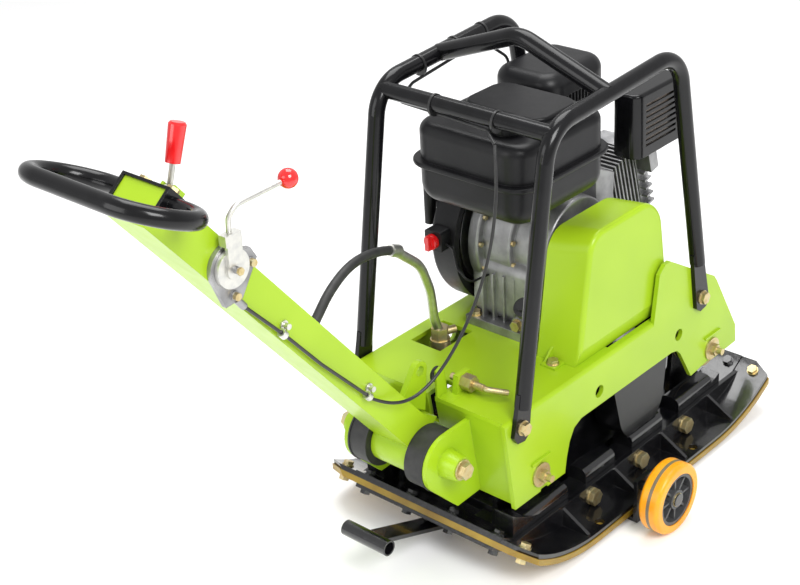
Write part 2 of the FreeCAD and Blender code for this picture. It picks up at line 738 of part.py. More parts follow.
def cylinder_barrel():
    core = box(100.0, 196.0, -26.0, 66.0, CRANK_Z - 42.0, CRANK_Z + 42.0)
    parts = [core]
    for k in range(9):
        x = 108.0 + 9.6 * k
        parts.append(box(x, x + 3.2, -44.0, 84.0, CRANK_Z - 64.0, CRANK_Z + 64.0))
    block = tilted(fuse(parts))
    return block


def cylinder_head():
    head = box(196.0, 222.0, -40.0, 80.0, CRANK_Z - 60.0, CRANK_Z + 60.0)
    cover = rounded_box(222.0, 246.0, -24.0, 66.0, CRANK_Z - 44.0, CRANK_Z + 44.0, 12.0, "x")
    fins = [box(200.0, 218.0, -52.0, -40.0, CRANK_Z - 56.0 + 16 * k, CRANK_Z - 52.0 + 16 * k)
            for k in range(8)]
    port = box(198.0, 220.0, -70.0, -38.0, CRANK_Z + 20.0, CRANK_Z + 56.0)
    return tilted(fuse([head, cover, port] + fins))


def spark_plug():
    body = tilted(fuse([cyl(8.0, (246.0, 6.0, CRANK_Z - 20), (268.0, 6.0, CRANK_Z - 20)),
                        cyl(12.0, (256.0, 6.0, CRANK_Z - 20), (282.0, 6.0, CRANK_Z - 20))]))
    return body


def fan_housing():
    drum = ycyl(138.0, 0.0, CRANK_Z, 98.0, 152.0)
    drum = drum.makeFillet(10.0, edges_where(drum, lambda e: e.CenterOfMass.y > 151.0))
    duct = box(0.0, 150.0, 98.0, 146.0, CRANK_Z - 20.0, CRANK_Z + 106.0)
    cavity = ycyl(126.0, 0.0, CRANK_Z, 90.0, 147.0)
    return fuse([drum, duct]).cut(cavity)


def flywheel():
    hub = ycyl(24.0, 0.0, CRANK_Z, 101.0, 140.0)
    disc = ycyl(112.0, 0.0, CRANK_Z, 106.0, 122.0)
    fins = []
    for k in range(12):
        blade = box(50.0, 110.0, 120.0, 140.0, CRANK_Z - 2.0, CRANK_Z + 2.0)
        blade.rotate(V(0, 0, CRANK_Z), V(0, 1, 0), 30.0 * k)
        fins.append(blade)
    return fuse([hub, disc] + fins).cut(crankshaft())


def recoil_cover():
    dish = ycyl(96.0, 0.0, CRANK_Z, 152.0, 182.0)
    dish = dish.makeFillet(12.0, edges_where(dish, lambda e: e.CenterOfMass.y > 181.0))
    dish = dish.cut(ycyl(88.0, 0.0, CRANK_Z, 150.0, 176.0))
    for k in range(12):
        slot = box(48.0, 82.0, 170.0, 190.0, CRANK_Z - 4.0, CRANK_Z + 4.0)
        slot.rotate(V(0, 0, CRANK_Z), V(0, 1, 0), 30.0 * k + 15.0)
        dish = dish.cut(slot)
    guide = box(-96.0, -60.0, 152.0, 178.0, CRANK_Z + 46.0, CRANK_Z + 74.0)
    guide = guide.cut(ycyl(88.0, 0.0, CRANK_Z, 150.0, 176.0))
    return fuse([dish, guide]).cut(cyl(2.4, (-110.0, 168.5, CRANK_Z + 60), (-40.0, 168.5, CRANK_Z + 60)))


def starter_grip():
    """Pull grip with the stretch of rope that runs in over the reel."""
    x, y, z = -100.0, 168.5, CRANK_Z + 60.0
    bar = rounded_box(x - 24.0, x - 4.5, y - 9.0, y + 9.0, z - 34.0, z + 34.0, 8.0, "z")
    rope = cyl(2.0, (x - 16.0, y, z), (x + 128.0, y, z))
    return [bar.cut(rope), rope]


def fuel_tank():
    lower = rounded_box(-218.0, 8.0, -112.0, 112.0, 550.0, 622.0, 40.0, "z")
    low_edges = edges_where(lower, lambda e: e.CenterOfMass.z < 550.5)
    lower = lower.makeFillet(34.0, low_edges)
    upper = rounded_box(-218.0, 8.0, -112.0, 112.0, 621.0, 687.0, 40.0, "z")
    top_edges = edges_where(upper, lambda e: e.CenterOfMass.z > 686.5)
    upper = upper.makeFillet(18.0, top_edges)
    seam = rounded_box(-229.0, 18.0, -122.0, 122.0, 617.0, 625.0, 46.0, "z")
    seam = seam.makeFillet(3.0, edges_where(seam, lambda e: e.CenterOfMass.z > 624.5
                                            or e.CenterOfMass.z < 617.5))
    dome = rounded_box(-120.0, -10.0, -70.0, 92.0, 685.0, 694.0, 30.0, "z")
    dome = dome.makeFillet(5.0, edges_where(dome, lambda e: e.CenterOfMass.z > 693.5))
    neck = cyl(26.0, (CAP_X, CAP_Y, 684.0), (CAP_X, CAP_Y, 690.0))
    foot = box(-80.0, 30.0, -28.0, 74.0, 540.0, 551.0)
    return fuse([lower, upper, seam, dome, neck, foot])


CAP_X, CAP_Y = -162.0, -42.0


def fuel_cap():
    cap = cyl(30.0, (CAP_X, CAP_Y, 690.2), (CAP_X, CAP_Y, 703.0))
    cap = cap.makeFillet(3.0, edges_where(cap, lambda e: e.CenterOfMass.z > 702.0))
    for k in range(16):
        a = math.radians(22.5 * k)
        x, y = CAP_X + 31 * math.cos(a), CAP_Y + 31 * math.sin(a)
        cap = cap.cut(cyl(2.0, (x, y, 689.0), (x, y, 706.0)))
    return cap


def air_cleaner():
    """Ribbed body under a domed lid."""
    body = rounded_box(36.0, 176.0, 28.0, 140.0, 612.0, 672.0, 26.0, "z")
    lid = rounded_box(24.0, 188.0, 18.0, 148.0, 656.0, 696.0, 36.0, "z")
    lid = lid.makeFillet(24.0, edges_where(lid, lambda e: e.CenterOfMass.z > 695.5))
    duct = box(60.0, 120.0, 46.0, 92.0, 600.0, 613.0)
    ribs = [box(66.0 + 9.0 * k, 69.0 + 9.0 * k, 22.0, 29.0, 618.0, 656.5) for k in range(10)]
    return fuse([body, lid, duct] + ribs)


def carburettor():
    body = box(64.0, 112.0, 44.0, 84.0, 552.0, 600.0)
    bowl = cyl(19.0, (88.0, 64.0, 530.0), (88.0, 64.0, 552.0))
    runner = box(112.0, 150.0, 50.0, 80.0, 540.0, 572.0)
    return fuse([body, bowl, runner])


def muffler():
    can = rounded_box(108.0, 228.0, -90.0, -54.0, 562.0, 656.0, 14.0, "z")
    pipe = box(186.0, 214.0, -72.0, -54.0, 534.0, 563.0)
    return fuse([can, pipe])


def muffler_shield():
    """Slotted sheet-metal guard, open below."""
    outer = rounded_box(100.0, 236.0, -100.0, -45.0, 556.0, 668.0, 18.0, "z")
    outer = outer.makeFillet(6.0, edges_where(outer, lambda e: e.CenterOfMass.z > 667.5))
    inner = rounded_box(102.5, 233.5, -97.5, -47.5, 540.0, 665.5, 16.0, "z")
    shell = outer.cut(inner)
    for k in range(8):
        z = 574.0 + 10.0 * k
        shell = shell.cut(box(124.0, 212.0, -104.0, -94.0, z, z + 4.5))
        shell = shell.cut(box(228.0, 240.0, -78.0, -66.0, z, z + 4.5))
    tabs = [box(101.0, 109.0, -80.0, -66.0, 640.0, 648.0), box(227.0, 235.0, -80.0, -66.0, 640.0, 648.0)]
    return fuse([shell] + tabs)


STOP_C = (-158.0, 126.0, 450.0)


def switch_box():
    """Box on the rim of the fan housing with its wire looped down to the case."""
    x, y, z = STOP_C
    box_ = rounded_box(x, x + 26.0, y - 18.0, y + 18.0, z - 18.0, z + 18.0, 5.0, "x")
    wire = bent_tube([(x + 12, y - 17, z - 6), (x + 12, 94.0, z - 10), (x + 10, 84.0, z - 44),
                      (x + 16, 64.0, z - 66), (x + 62, 60.0, z - 68)], [8.0, 16.0, 16.0], 2.0)
    return fuse([box_, wire])


def stop_knob():
    x, y, z = STOP_C
    disc = cyl(13.0, (x - 9.0, y, z), (x - 0.3, y, z))
    wing_ = box(x - 17.0, x - 8.0, y - 4.0, y + 4.0, z - 12.0, z + 12.0)
    return fuse([disc, wing_])


def oil_dipstick():
    a, b = (-126.3, -40.1, 360.3), (-134.0, -41.5, 368.6)
    return fuse([cyl(17.0, a, b), cyl(9.0, b, (-141.0, -42.8, 376.0))])


def drain_plug():
    return fuse([hexagon(17.0, (-112.0, -12.0, ENG_Z0 + 28.0), (-122.0, -12.0, ENG_Z0 + 28.0)),
                 cyl(11.0, (-112.0, -12.0, ENG_Z0 + 28.0), (-114.0, -12.0, ENG_Z0 + 28.0))])


def crankshaft():
    return fuse([ycyl(18.0, 0.0, CRANK_Z, -62.5, 100.0), ycyl(13.0, 0.0, CRANK_Z, BELT_Y - 14.0, -62.5),
                 ycyl(12.0, 0.0, CRANK_Z, 100.0, 144.0)])


def clutch_pulley():
    drum = ycyl(58.0, 0.0, CRANK_Z, BELT_Y + 12.0, BELT_Y + 44.0)
    sheave = ycyl(56.0, 0.0, CRANK_Z, BELT_Y - 11.0, BELT_Y + 12.0)
    groove = ring(70.0, 44.0, (0.0, BELT_Y - 8.5, CRANK_Z), (0.0, BELT_Y + 8.5, CRANK_Z))
    return fuse([drum, sheave.cut(groove)]).cut(ycyl(13.0, 0.0, CRANK_Z, -170.0, -60.0))


def v_belt():
    """Endless belt round both sheaves, clear of their flanks by 0.5 mm."""
    def loop(r1, r2, y0, y1):
        a, b = (0.0, CRANK_Z), (EXC_X1, EXC_Z)
        dx, dz = b[0] - a[0], b[1] - a[1]
        d = math.hypot(dx, dz)
        base = math.atan2(dz, dx)
        off = math.acos((r1 - r2) / d)
        pts = []
        for c, r, s in ((a, r1, 1), (b, r2, 1), (b, r2, -1), (a, r1, -1)):
            t = base + s * off
            pts.append((c[0] + r * math.cos(t), c[1] + r * math.sin(t)))
        return fuse([prism_y(pts, y0, y1), ycyl(r1, a[0], a[1], y0, y1), ycyl(r2, b[0], b[1], y0, y1)])

    y0, y1 = BELT_Y - 8.0, BELT_Y + 8.0
    return loop(54.5, 48.5, y0, y1).cut(loop(44.5, 38.5, y0 - 1, y1 + 1))


GUARD_FRONT_Y, GUARD_BACK_Y = -150.0, -70.0
GUARD_TOP = 511.0
GUARD_BEVEL_Z = 317.0        # the front wall turns inwards below this


def guard_loop(y, grow, top):
    """Outline of the guard at y, leaning in at both sides and rounded at its upper corners."""
    x0, x1, z0 = -129.0 - grow, 129.0 + grow, FRAME_TOP_Z
    pts = [(x0, y, z0), (x0 + 36.0, y, top), (x1 - 33.0, y, top), (x1, y, z0)]
    arch = bent_wire(pts, [36.0 + grow, 62.0 + grow])
    return Part.Wire(arch.Edges + [Part.makeLine(V(*pts[3]), V(*pts[0]))])


def guard_bevel(inset):
    """What the lower bevel takes off the front wall."""
    y, z = GUARD_FRONT_Y + inset, GUARD_BEVEL_Z
    return prism_x([(y - 20.0, FRAME_TOP_Z), (y + 8.0, FRAME_TOP_Z), (y, z), (y - 20.0, z)], -200.0, 200.0)


def guard_shell(inset):
    """Tapered cover, wider towards the machine, shrunk all round by inset."""
    loops = [guard_loop(GUARD_FRONT_Y + inset, -inset, GUARD_TOP - inset),
             guard_loop(GUARD_BACK_Y, 7.0 - inset, GUARD_TOP - 11.0 - inset)]
    return Part.makeLoft(loops, True, True)


def guard_shells():
    """Deep-drawn cover over clutch and belt, open at the back and below."""
    outer = guard_shell(0.0)
    rim = edges_where(outer, lambda e: all(abs(v.Y - GUARD_FRONT_Y) < 0.01 for v in e.Vertexes)
                      and e.CenterOfMass.z > FRAME_TOP_Z + 1.0)
    outer = outer.makeFillet(8.0, rim).cut(guard_bevel(0.0))
    inner = guard_shell(3.0).cut(guard_bevel(3.0))
    guard = outer.cut(inner)
    tabs = [box(-158.0, -104.0, -122.0, -94.0, FRAME_TOP_Z, FRAME_TOP_Z + 4.0),
            box(112.0, 157.0, -122.0, -94.0, FRAME_TOP_Z, FRAME_TOP_Z + 4.0)]
    ribs = [prism_y([(-152, FRAME_TOP_Z + 2), (-108, FRAME_TOP_Z + 2), (-106, FRAME_TOP_Z + 46)], -98.0, -94.0),
            prism_y([(112, FRAME_TOP_Z + 2), (152, FRAME_TOP_Z + 2), (112, FRAME_TOP_Z + 46)], -98.0, -94.0)]
    return guard, tabs, ribs, inner


def belt_guard():
    guard, tabs, ribs, inner = guard_shells()
    whole = fuse([guard] + [t.cut(inner) for t in tabs] + [r.cut(inner) for r in ribs])
    for x in (-146.0, 145.0):
        whole = whole.cut(cyl(5.4, (x, -110.0, 280.0), (x, -110.0, 300.0)))
    return whole


def guard_bolts():
    return [bolt((x, -110.0, FRAME_TOP_Z + 4.0), (0, 0, 1), 10.0, 18.0) for x in (-146.0, 145.0)]


# ---------------------------------------------------------------- handle
def beam_dir():
    a = math.radians(BEAM_TILT)
    return (-math.cos(a), 0.0, math.sin(a))


def beam_up():
    a = math.radians(BEAM_TILT)
    return (math.sin(a), 0.0, math.cos(a))


def beam_point(s, n, y):
    """s along the beam from the pivot, n above its centre line, y across."""
    d, u = beam_dir(), beam_up()
    k = BEAM_OFFSET + n
    return (PIVOT_X + d[0] * s + u[0] * k, y, PIVOT_Z + d[2] * s + u[2] * k)


def beam_box(s0, s1, n0, n1, y0, y1):
    pts = [beam_point(s, n, y0) for s, n in ((s0, n0), (s1, n0), (s1, n1), (s0, n1))]
    return face_of(pts).extrude(V(0, y1 - y0, 0))


def handle_beam():
    h, w = BEAM_H / 2, BEAM_W / 2
    outer = beam_box(0.0, BEAM_LEN, -h, h, -w, w)
    inner = beam_box(20.0, BEAM_LEN - 5.0, -h + 4, h - 4, -w + 4, w - 4)
    cross = ycyl(38.0, PIVOT_X, PIVOT_Z, -w, w)
    toe = prism_y([(PIVOT_X + 20, PIVOT_Z + 30), (PIVOT_X + 40, PIVOT_Z + 45),
                   (PIVOT_X - 4, PIVOT_Z + 74)], -w + 6, w - 6)
    beam = fuse([outer.cut(inner), cross, toe.cut(inner)])
    beam = beam.cut(ycyl(10.0 + RUN, PIVOT_X, PIVOT_Z, -60.0, 60.0))
    x, z = on_pivot(LOCK_R, LUG_ANGLE)
    lug = fuse([ycyl(16.0, x, z, -15.0, -5.0),
                prism_y([(x - 14, z + 8), (x + 15, z - 6), (PIVOT_X + 34, PIVOT_Z + 52),
                         (PIVOT_X - 20, PIVOT_Z + 90)], -15.0, -5.0)]).cut(inner)
    beam = fuse([beam, lug, lever_bracket()]).cut(ycyl(8.5, x, z, -20.0, 0.0))
    port = cyl(11.5, beam_point(322.0, h - 10, 15.3), beam_point(322.0, h + 10, 15.3))
    return beam.cut(port)


BUMP_X, BUMP_Z = -326.0, 326.0


def bump_bracket():
    """Plate on the deck's rear edge that holds the rubber pad beside the lug."""
    z = FRAME_TOP_Z - 4.0
    return prism_y([(-333.0, z), (-308.0, z), (-314.0, BUMP_Z + 6), (-322.0, BUMP_Z + 13), (-333.0, BUMP_Z + 9)],
                   -24.0, -20.0)


def stop_bump():
    """Rubber pad that keeps the beam's lug from rattling."""
    return ycyl(13.0, BUMP_X, BUMP_Z, -20.0, -15.6)


LOOP_TILT = 25.0
LOOP_HALF_W = 127.0
LOOP_DEPTH = 124.0
LOOP_TUBE_R = 12.5
LOOP_C = (-878.0, 0.0, 838.0)


def loop_point(a, b):
    """a along the tilted plane towards the operator, b across."""
    t = math.radians(LOOP_TILT)
    return (LOOP_C[0] - a * math.cos(t), b, LOOP_C[2] + a * math.sin(t))


def loop_handle():
    h, w = LOOP_DEPTH / 2, LOOP_HALF_W
    corner = h * 0.98
    pts = [loop_point(-h, 0.0), loop_point(-h, -w), loop_point(h, -w), loop_point(h, w), loop_point(-h, w),
           loop_point(-h, 0.0)]
    ring_solid = bent_tube(pts, [corner] * 4, LOOP_TUBE_R)
    s0, s1 = BEAM_LEN - 46.0, BEAM_LEN + 3.0
    hh, ww = BEAM_H / 2, BEAM_W / 2
    collar = beam_box(s0, s1, -hh - 4, hh + 4, -ww - 5, ww + 5)
    low = [loop_point(a, 0.0) for a in (-200.0, 200.0)]
    below = prism_y([(low[0][0], low[0][2] - 8.0), (low[1][0], low[1][2] - 8.0), (low[0][0], low[0][2] - 300.0)],
                    -200.0, 200.0)
    solid = fuse([ring_solid, collar.cut(below)])
    solid = solid.cut(beam_box(s0 - 80, s1 + 40, -hh, hh, -ww, ww))
    keep = max(solid.Solids, key=lambda q: q.Volume)
    return keep.cut(beam_box(BEAM_LEN, BEAM_LEN + 30, -hh, hh, -ww, ww))


def collar_bolts():
    out = []
    u = beam_up()
    for y in (-26.0, 26.0):
        p = beam_point(BEAM_LEN - 21.0, BEAM_H / 2 + 4.0, y)
        out.append(bolt(p, u, 10.0, 14.0))
    return out


DIR_S, DIR_Y = BEAM_LEN - 55.0, 15.0
DIR_TILT = 18.0              # lever's lean forward of vertical, degrees


def dir_pivot():
    return beam_point(DIR_S, BEAM_H / 2 + 14.5, DIR_Y)


def dir_point(s):
    """s along the lever from its pivot."""
    a = math.radians(DIR_TILT)
    return at(dir_pivot(), (math.sin(a), 0.0, math.cos(a)), s)


def lever_bracket():
    h = BEAM_H / 2
    p = dir_pivot()
    cheeks = [beam_box(DIR_S - 14, DIR_S + 8, h, h + 23, DIR_Y + y0, DIR_Y + y0 + 4.0) for y0 in (9.0, -13.0)]
    pin = ycyl(4.0, p[0], p[2], DIR_Y - 16.0, DIR_Y + 16.0)
    base = beam_box(DIR_S - 16, DIR_S + 8.5, h, h + 3, DIR_Y - 13.0, DIR_Y + 13.0)
    return fuse(cheeks + [pin, base])


def direction_lever():
    p = dir_pivot()
    bore = ycyl(4.0 + RUN, p[0], p[2], DIR_Y - 10, DIR_Y + 10)
    hub = ycyl(8.0, p[0], p[2], DIR_Y - 8.7, DIR_Y + 8.7)
    rod = cyl(4.0, dir_point(5.0), dir_point(66.0))
    return fuse([hub, rod]).cut(bore)


def direction_grip():
    grip = fuse([cone(10.3, 12.2, dir_point(38.0), dir_point(88.0)),
                 cone(12.2, 10.0, dir_point(88.0), dir_point(91.0))])
    return grip.cut(cyl(4.0, dir_point(30.0), dir_point(66.0)))


THR = (-746.0, 698.0)


def throttle_body():
    y0 = -BEAM_W / 2
    plate = fuse([ycyl(33.0, THR[0], THR[1], y0 - 8.0, y0),
                  prism_y([(THR[0] - 20, THR[1] + 26), (THR[0] + 38, THR[1] + 14), (THR[0] + 48, THR[1] - 4),
                           (THR[0] + 16, THR[1] - 52), (THR[0] - 14, THR[1] - 54), (THR[0] - 28, THR[1] - 18)],
                          y0 - 8.0, y0)])
    hubs = [ycyl(7.0, THR[0] + 35, THR[1] - 6, y0 - 11.0, y0 - 8.0),
            ycyl(7.0, THR[0] + 2, THR[1] - 42, y0 - 11.0, y0 - 8.0)]
    spigot = cyl(5.5, (THR[0] + 6, y0 - 6.0, THR[1] - 50), (THR[0] + 18, y0 - 6.0, THR[1] - 66))
    stud = ycyl(5.0, THR[0], THR[1], y0 - 26.0, y0)
    return fuse([plate, stud] + hubs + [spigot])


def throttle_screws():
    y0 = -BEAM_W / 2
    out = []
    for dx, dz in ((35.0, -6.0), (2.0, -42.0)):
        x, z = THR[0] + dx, THR[1] + dz
        out.append(fuse([ycyl(5.5, x, z, y0 - 17.0, y0 - 11.0), ycyl(3.0, x, z, y0 - 11.5, y0 + 2.0)]))
    nut = hexagon(10.0, (THR[0], y0 - 26.0, THR[1]), (THR[0], y0 - 30.0, THR[1]))
    return out + [nut]


def throttle_lever():
    y0 = -BEAM_W / 2
    disc = ycyl(27.5, THR[0], THR[1], y0 - 16.0, y0 - 8.3)
    hub = ycyl(14.0, THR[0], THR[1], y0 - 20.0, y0 - 15.0)
    arm = prism_y([(THR[0] - 12, THR[1] + 8), (THR[0] + 12, THR[1] + 8), (THR[0] + 14, THR[1] + 44),
                   (THR[0] - 12, THR[1] + 46)], y0 - 22.0, y0 - 16.0)
    block = box(THR[0] - 14, THR[0] + 14, y0 - 22.0, y0 - 8.5, THR[1] + 36, THR[1] + 52)
    rod = bent_tube([(THR[0], y0 - 13, THR[1] + 48), (THR[0] + 1, y0 - 14, THR[1] + 72),
                     (THR[0] + 13, y0 - 16, THR[1] + 86), (THR[0] + 98, y0 - 18, THR[1] + 89)],
                    [12.0, 20.0], 3.6)
    lever = fuse([disc, hub, arm, block, rod])
    return lever.cut(ycyl(5.0 + RUN, THR[0], THR[1], y0 - 40, y0 + 1))


def throttle_ball():
    y0 = -BEAM_W / 2
    c = V(THR[0] + 106, y0 - 18.5, THR[1] + 89.5)
    ball = Part.makeSphere(14.0, c)
    return ball.cut(throttle_lever())


CLIP_END = (-504.7, -48.2, 380.6)
CLIPS = ((-666.0, -48.0, 563.0), (-511.0, -48.0, 388.0))


def cable_clips():
    out = []
    u = beam_up()
    d = beam_dir()
    for x, y, z in CLIPS:
        a = at((x, y, z), d, 5.0)
        b = at((x, y, z), d, -5.0)
        loop_ = ring(6.5, 3.4, a, b)
        tab_c = at((x, 0, z), u, 12.0)
        tab = cyl(7.0, (tab_c[0], -43.0, tab_c[2]), (tab_c[0], -40.0, tab_c[2]))
        neck = cyl(2.5, at((x, -43.5, z), u, 4.0), at((x, -41.8, z), u, 10.0))
        screw = cyl(4.5, (tab_c[0], -52.0, tab_c[2]), (tab_c[0], -43.0, tab_c[2]))
        out.append(fuse([loop_, tab, neck, screw]).cut(beam_box(0, 760, -60, 60, -40, 40)))
    return out


# ---------------------------------------------------------------- parking pin
def lock_pin():
    x, z = on_pivot(LOCK_R, LOCK_ANGLE)
    pin = ycyl(6.0, x, z, -84.0, -19.0)
    lever = bent_tube([(x, -78.0, z), (x, -90.0, z), (x + 20.0, -118.0, z - 6.0)], [6.0], 5.0)
    return fuse([pin, lever])


def lock_pin_body():
    x, z = on_pivot(LOCK_R, LOCK_ANGLE)
    body = fuse([hexagon(24.0, (x, -44.0, z), (x, -64.0, z)), ycyl(9.0, x, z, -44.0, -34.0)])
    return body.cut(ycyl(6.0 + RUN, x, z, -70.0, -30.0))


# ---------------------------------------------------------------- hydraulics and cable
HOSE_POINTS = ((-566.0, 13.0, 490.0), (-541.0, 17.0, 508.0), (-494.0, 32.0, 532.0), (-430.0, 46.0, 547.0),
               (-354.0, 60.0, 532.0), (-318.0, 69.0, 514.0))
FITTING_X, FITTING_Y = -180.0, 101.0


def pipe_run():
    """Steel pipe from the hose's ferrule down into the fitting."""
    pts = [(-311.0, 70.7, 510.5), (-237.0, 86.0, 450.0), (-206.0, 95.0, 389.0), (-194.0, 100.0, 329.0),
           (FITTING_X, FITTING_Y, 293.0)]
    return bent_tube(pts, [110.0, 120.0, 80.0], 8.0)


def hydraulic_pipe():
    ferrule = cyl(10.5, (-327.0, 66.8, 518.5), (-300.0, 73.5, 505.0))
    return fuse([pipe_run(), ferrule]).cut(hose())


def hose():
    return sweep(bent_wire(HOSE_POINTS, cord_radii(HOSE_POINTS)), 7.5)


def pipe_fitting():
    x, y = FITTING_X, FITTING_Y
    body = fuse([hexagon(27.0, (x, y, 284.0), (x, y, 306.0)), cyl(17.0, (x, y, 262.0), (x, y, 284.0)),
                 cyl(12.0, (x, y, 218.0), (x, y, 262.0))])
    side = cyl(7.0, (x, y, 295.0), (x + 26.0, y - 12.0, 295.0))
    return fuse([body, side]).cut(pipe_run())


def lower_hose():
    """From the fitting down to the exciter housing."""
    return bent_tube([(FITTING_X, FITTING_Y, 218.0), (FITTING_X, FITTING_Y, 180.0), (-160.0, 60.0, 150.0),
                      (-136.2, 40.0, 150.0)], [14.0, 12.0], 8.0)


CABLE_POINTS = ((-504.1, -48.2, 379.9), (-474.0, -52.0, 356.0), (-430.0, -60.0, 345.0),
                (-388.0, -68.0, 362.0), (-350.0, -76.0, 397.0), (-318.0, -84.0, 444.0),
                (-295.0, -92.0, 496.0), (-280.0, -98.0, 550.0), (-270.0, -101.0, 605.0),
                (-261.0, -98.0, 658.0), (-246.0, -84.0, 703.0))


def beam_cable():
    """The clipped stretch along the beam."""
    pts = [(THR[0] + 18, -46.0, THR[1] - 66), (CLIPS[0][0], -48.0, CLIPS[0][2]),
           (-600.0, -48.0, 484.0), (CLIPS[1][0], -48.0, CLIPS[1][2]), CLIP_END]
    return bent_tube(pts, [60.0, 60.0, 20.0], 2.6)


def engine_cable():
    """Tied along the crossbar and the left hoop, then down to the carburettor."""
    under = CAGE_TUBE_R + 3.4
    xb, zb, y = CROSSBAR_X, CROSSBAR_Z - under, CAGE_Y - 3.0
    pts = [CABLE_POINTS[-1], (xb - 12.0, -52.0, zb + 2), (xb, 40.0, zb), (xb + 6.0, y - 22.0, zb),
           (xb + 60.0, y - 4.0, hoop_z(xb + 60.0) - under - 6.0), (-20.0, y - 2.0, hoop_z(-20.0) - under),
           (28.0, y - 3.0, hoop_z(28.0) - under), (86.0, y - 8.0, 690.0), (92.0, y - 9.0, 606.0),
           (100.0, 84.0, 582.0)]
    return bent_tube(pts, [12.0, 200.0, 16.0, 24.0, 120.0, 40.0, 30.0, 24.0], 2.6)


def hoop_z(x):
    """Height of the hoop's top run at x."""
    return CAGE_REAR_Z + (CAGE_FRONT_Z - CAGE_REAR_Z) * (x - CAGE_REAR_X) / (CAGE_FRONT_X - CAGE_REAR_X)


def cable_ties():
    out = []
    for x in (-128.0, -40.0, 30.0):
        out.append(tie((x, CAGE_Y, hoop_z(x)), (0.9986, 0.0, 0.053)))
    x, z = CROSSBAR_X, CROSSBAR_Z
    for y in (-62.0, 60.0):
        out.append(tie((x, y, z), (0.0, 1.0, 0.0)))
    return out


def tie(p, d):
    """Cable tie round a cage tube and the cable below it."""
    a, b = at(p, d, -2.0), at(p, d, 2.0)
    low = (0.0, 0.0, -4.6)
    a2, b2 = tuple(map(sum, zip(a, low))), tuple(map(sum, zip(b, low)))
    outer = fuse([cyl(CAGE_TUBE_R + 1.5, a, b), cyl(CAGE_TUBE_R + 2.9, a2, b2)])
    return outer.cut(cyl(CAGE_TUBE_R + 0.05, at(p, d, -4.0), at(p, d, 4.0)))


# ---------------------------------------------------------------- trolley
def trolley_frame():
    t = TROLLEY_BAR_T - 0.3
    y_up = PLATE_HALF_W + 8.0
    cross = box(WHEEL_X - 22, WHEEL_X + 22, -y_up - 8, y_up + 8, 0.0, t)
    spine = box(-170.0, 150.0, -22.0, 22.0, 0.0, t)
    front = box(128.0, 172.0, -150.0, 150.0, 0.0, t)
    parts = [cross, spine, front]
    for s in (-1, 1):
        up = box(WHEEL_X - 22, WHEEL_X + 22, y_up, y_up + 8, 0.0, WHEEL_R + 20.0)
        axle = ycyl(9.0, WHEEL_X, WHEEL_R, y_up, WHEEL_Y + WHEEL_W / 2 + 2.0)
        pair = fuse([up, axle])
        parts.append(pair if s > 0 else mirror_y(pair))
    bar = prism_y([(-170, 0), (-170, t), (-195, t), (-240, 11.5), (-318, 33.5), (-487, 98), (-487, 90), (-316, 25.5),
                   (-224, 2), (-210, 0)], -19.0, 19.0)
    return fuse(parts + [bar, tee(13.0)]).cut(tee(10.5))


def tee(radius):
    """Cross handle at the end of the drawbar."""
    return cyl(radius, (-487.0, -46.0, 96.0), (-487.0, 46.0, 96.0))


def wheel_tyre(s):
    y0, y1 = WHEEL_Y - WHEEL_W / 2, WHEEL_Y + WHEEL_W / 2
    t = ring(WHEEL_R, 46.0, (WHEEL_X, y0, WHEEL_R), (WHEEL_X, y1, WHEEL_R))
    rims = edges_where(t, lambda e: abs(e.Length - 2 * math.pi * WHEEL_R) < 1.0 and len(e.Vertexes) == 1)
    t = t.makeFillet(7.0, rims)
    return t if s > 0 else mirror_y(t)


def wheel_hub(s):
    y0, y1 = WHEEL_Y - WHEEL_W / 2 + 2, WHEEL_Y + WHEEL_W / 2 - 2
    c = (WHEEL_X, WHEEL_R)
    rim = ring(46.0, 40.0, (c[0], y0, c[1]), (c[0], y1, c[1]))
    web = ycyl(41.0, c[0], c[1], WHEEL_Y - 3.0, WHEEL_Y + 3.0)
    boss = ycyl(17.0, c[0], c[1], y0, y1)
    parts = [rim, web, boss]
    for k in range(8):
        spoke = box(c[0] + 14.0, c[0] + 42.0, WHEEL_Y - 13.0, WHEEL_Y + 13.0, c[1] - 2.0, c[1] + 2.0)
        spoke.rotate(V(c[0], 0, c[1]), V(0, 1, 0), 45.0 * k)
        parts.append(spoke)
    h = fuse(parts).cut(ycyl(12.0, c[0], c[1], y0 - 1, y1 + 1))
    return h if s > 0 else mirror_y(h)


def wheel_bush(s):
    y0, y1 = WHEEL_Y - WHEEL_W / 2, WHEEL_Y + WHEEL_W / 2
    b = ring(12.0, 9.0 + RUN, (WHEEL_X, y0, WHEEL_R), (WHEEL_X, y1, WHEEL_R))
    return b if s > 0 else mirror_y(b)


def axle_clips():
    out = []
    y0 = WHEEL_Y + WHEEL_W / 2
    for s in (-1, 1):
        r_ = ring(11.5, 9.0, (WHEEL_X, y0 + 0.5, WHEEL_R), (WHEEL_X, y0 + 2.0, WHEEL_R))
        out.append(r_ if s > 0 else mirror_y(r_))
    return out


